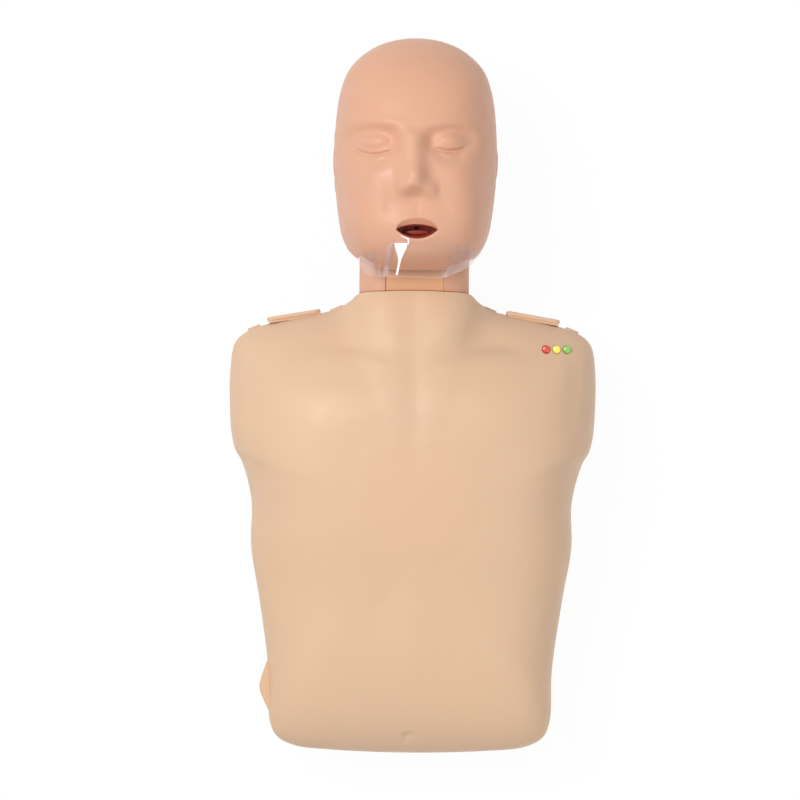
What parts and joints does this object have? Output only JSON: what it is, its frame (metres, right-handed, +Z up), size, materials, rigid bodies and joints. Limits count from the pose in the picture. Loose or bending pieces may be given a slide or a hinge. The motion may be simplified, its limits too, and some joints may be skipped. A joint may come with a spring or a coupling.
{
  "type": "cpr training manikin",
  "caption": "Adult head and torso manikin with closed eyes and open mouth, a sprung chest, a tilting head, a clear face film and three shoulder lights, lying on its back.",
  "frame": {"origin": "middle of the manikin's footprint on the surface that it lies on", "axes": "+X towards the right of someone looking down at its face with the head away from them, +Y towards the crown of the head, +Z up, out of the chest"},
  "size_m": [0.3392, 0.66, 0.22],
  "materials": {
    "body_tan": "satin moulded skin, yellowish tan",
    "head_tan": "satin moulded skin, pinkish tan",
    "throat_tan": "soft satin, warmer tan",
    "mouth_red": "dark red-brown",
    "clear_film": "clear glossy film",
    "grey_plastic": "satin",
    "white_plastic": "satin",
    "black_rubber": "matt",
    "steel": "bright",
    "board_green": "satin",
    "bag_white": "soft film",
    "cell_wrap": "plain wrap",
    "lamp_red": "tinted lens",
    "lamp_yellow": "tinted lens",
    "lamp_green": "tinted lens"
  },
  "bodies": {
    "torso": {"chest_skin": "body_tan", "back_shell": "body_tan", "shoulder_clip_left": "body_tan", "shoulder_clip_right": "body_tan", "battery_cover": "body_tan", "neck_block": "head_tan", "throat_panel": "throat_tan", "piston_guide": "grey_plastic", "monitor_case": "grey_plastic", "bumper_ring": "black_rubber", "compression_spring": "steel", "click_leaf": "steel", "guide_screw_1": "steel", "guide_screw_2": "steel", "guide_screw_3": "steel", "guide_screw_4": "steel", "neck_screw_1": "steel", "neck_screw_2": "steel", "battery_cover_screw": "steel", "circuit_board": "board_green", "battery_1": "cell_wrap", "battery_2": "cell_wrap", "led_lens_red": "lamp_red", "led_lens_yellow": "lamp_yellow", "led_lens_green": "lamp_green"},
    "head": {"face_shell": "head_tan", "skull_shell": "head_tan", "mouth_insert": "mouth_red", "face_shield": "clear_film", "pivot_rod": "steel", "head_screw_1": "steel", "head_screw_2": "steel", "head_screw_3": "steel", "head_screw_4": "steel"},
    "plunger": {"piston": "white_plastic", "chest_plate": "grey_plastic", "lung_bag": "bag_white"},
    "button": {"power_button": "grey_plastic"}
  },
  "joints": [
    {"name": "head_tilt", "type": "hinge", "parent": "torso", "child": "head", "pos_m": [0, 0.148, 0.095], "axis": [1, 0, 0], "range_deg": [-25, 12]},
    {"name": "chest_compression", "type": "slide", "parent": "torso", "child": "plunger", "axis": [0, 0, -1], "range_m": [0, 0.05], "stiffness_N_per_m": 9000, "deforming": ["compression_spring"]},
    {"name": "power_button_press", "type": "slide", "parent": "torso", "child": "button", "axis": [0, -1, 0], "range_m": [0, 0.0015], "stiffness_N_per_m": 800}
  ]
}
